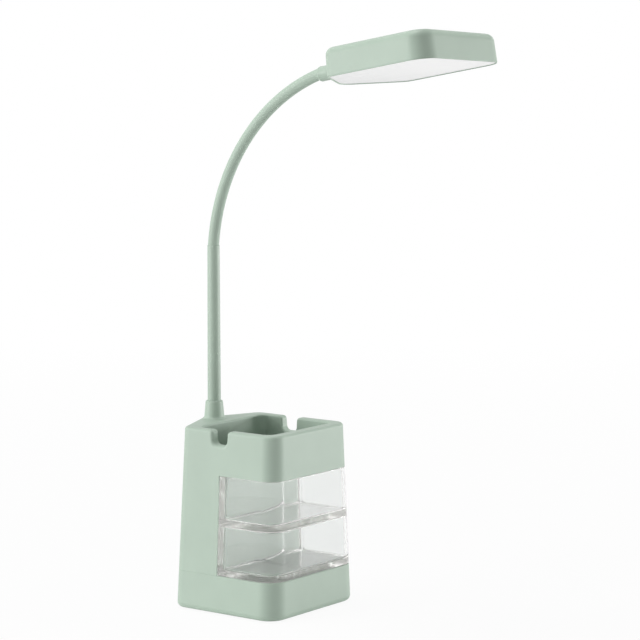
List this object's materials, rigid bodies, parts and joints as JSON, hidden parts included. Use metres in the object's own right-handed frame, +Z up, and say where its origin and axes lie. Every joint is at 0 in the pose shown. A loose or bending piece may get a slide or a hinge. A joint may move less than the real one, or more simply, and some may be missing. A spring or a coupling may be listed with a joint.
{
  "type": "desk lamp with drawer base",
  "caption": "Gooseneck desk lamp on a tapered organizer base with stacked clear drawers, a pen cup, a deep pen well and phone notches in the rim.",
  "frame": {"origin": "middle of the footprint, on the resting face under the anti-slip pad", "axes": "+Z up, -Y the side the drawers open to and the head reaches over, X the mirror direction of the base"},
  "size_m": [0.101, 0.235, 0.4163],
  "materials": {
    "sage_plastic": "satin moulded ABS, sage green",
    "sage_metal": "satin paint on steel tube, sage green",
    "sage_rubber": "soft silicone sleeve, sage green",
    "clear_plastic": "clear moulded polystyrene, polished",
    "diffuser_white": "opal diffuser sheet",
    "white_plastic": "white moulded plastic",
    "black_plastic": "black plastic",
    "grey_rubber": "grey anti-slip rubber",
    "steel": "plain steel",
    "nickel": "nickel plated",
    "cell_wrap": "blue cell wrap",
    "board_green": "green circuit board",
    "led_board_white": "white aluminium circuit board",
    "led_yellow": "LED chips",
    "light_pipe": "clear light pipe",
    "cable_black": "black cable jacket"
  },
  "bodies": {
    "base": {"upper_housing": "sage_plastic", "lower_housing": "sage_plastic", "bottom_cover": "sage_plastic", "anti_slip_pad": "grey_rubber", "ballast_plate": "steel", "battery_cell": "cell_wrap", "battery_cradle": "black_plastic", "battery_plus_terminal": "nickel", "battery_minus_terminal": "nickel", "control_board": "board_green", "board_chips": "black_plastic", "charge_socket": "nickel", "charge_indicator": "light_pipe", "cover_screws": "steel", "column_screws": "steel", "guide_plate": "white_plastic", "plate_screws": "steel", "neck_collar": "sage_plastic", "neck_tube": "sage_metal", "tube_nut": "steel", "tube_washer": "steel", "base_cable": "cable_black"},
    "drawer_upper": {"drawer_upper": "clear_plastic"},
    "drawer_lower": {"drawer_lower": "clear_plastic"},
    "neck_link_1": {"neck_sleeve_1": "sage_rubber", "neck_core_1": "steel", "neck_cable_1": "cable_black", "swivel_nut": "steel"},
    "neck_link_2": {"neck_sleeve_2": "sage_rubber", "neck_core_2": "steel", "neck_cable_2": "cable_black"},
    "neck_link_3": {"neck_sleeve_3": "sage_rubber", "neck_core_3": "steel", "neck_cable_3": "cable_black"},
    "neck_link_4": {"neck_sleeve_4": "sage_rubber", "neck_core_4": "steel", "neck_cable_4": "cable_black"},
    "neck_link_5": {"neck_sleeve_5": "sage_rubber", "neck_core_5": "steel", "neck_cable_5": "cable_black"},
    "neck_link_6": {"neck_sleeve_6": "sage_rubber", "neck_core_6": "steel", "neck_cable_6": "cable_black"},
    "head": {"head_ferrule": "sage_plastic", "head_shell": "sage_plastic", "diffuser": "diffuser_white", "reflector": "white_plastic", "led_board": "led_board_white", "led_chips": "led_yellow", "led_board_screws": "steel", "cable_clamp": "black_plastic", "clamp_screws": "steel", "head_cable": "cable_black", "head_connector": "white_plastic", "touch_pad": "sage_plastic", "touch_contact": "nickel"}
  },
  "joints": [
    {"name": "drawer_upper_slide", "type": "slide", "parent": "base", "child": "drawer_upper", "axis": [0, -1, 0], "range_m": [0, 0.032]},
    {"name": "drawer_lower_slide", "type": "slide", "parent": "base", "child": "drawer_lower", "axis": [0, -1, 0], "range_m": [0, 0.032]},
    {"name": "neck_swivel", "type": "hinge", "parent": "base", "child": "neck_link_1", "pos_m": [0, 0.0392, 0.2593], "axis": [0, 0, 1], "range_deg": [-60, 60]},
    {"name": "neck_bend_1", "type": "hinge", "parent": "neck_link_1", "child": "neck_link_2", "pos_m": [0, 0.03426, 0.28642], "axis": [1, 0, 0], "range_deg": [-9, 8]},
    {"name": "neck_bend_2", "type": "hinge", "parent": "neck_link_2", "child": "neck_link_3", "pos_m": [0, 0.02432, 0.31213], "axis": [1, 0, 0], "range_deg": [-9, 8]},
    {"name": "neck_bend_3", "type": "hinge", "parent": "neck_link_3", "child": "neck_link_4", "pos_m": [0, 0.00972, 0.33551], "axis": [1, 0, 0], "range_deg": [-9, 8]},
    {"name": "neck_bend_4", "type": "hinge", "parent": "neck_link_4", "child": "neck_link_5", "pos_m": [0, -0.00902, 0.35573], "axis": [1, 0, 0], "range_deg": [-9, 8]},
    {"name": "neck_bend_5", "type": "hinge", "parent": "neck_link_5", "child": "neck_link_6", "pos_m": [0, -0.03122, 0.37206], "axis": [1, 0, 0], "range_deg": [-9, 8]},
    {"name": "neck_bend_6", "type": "hinge", "parent": "neck_link_6", "child": "head", "pos_m": [0, -0.05609, 0.38394], "axis": [1, 0, 0], "range_deg": [-9, 8]}
  ]
}
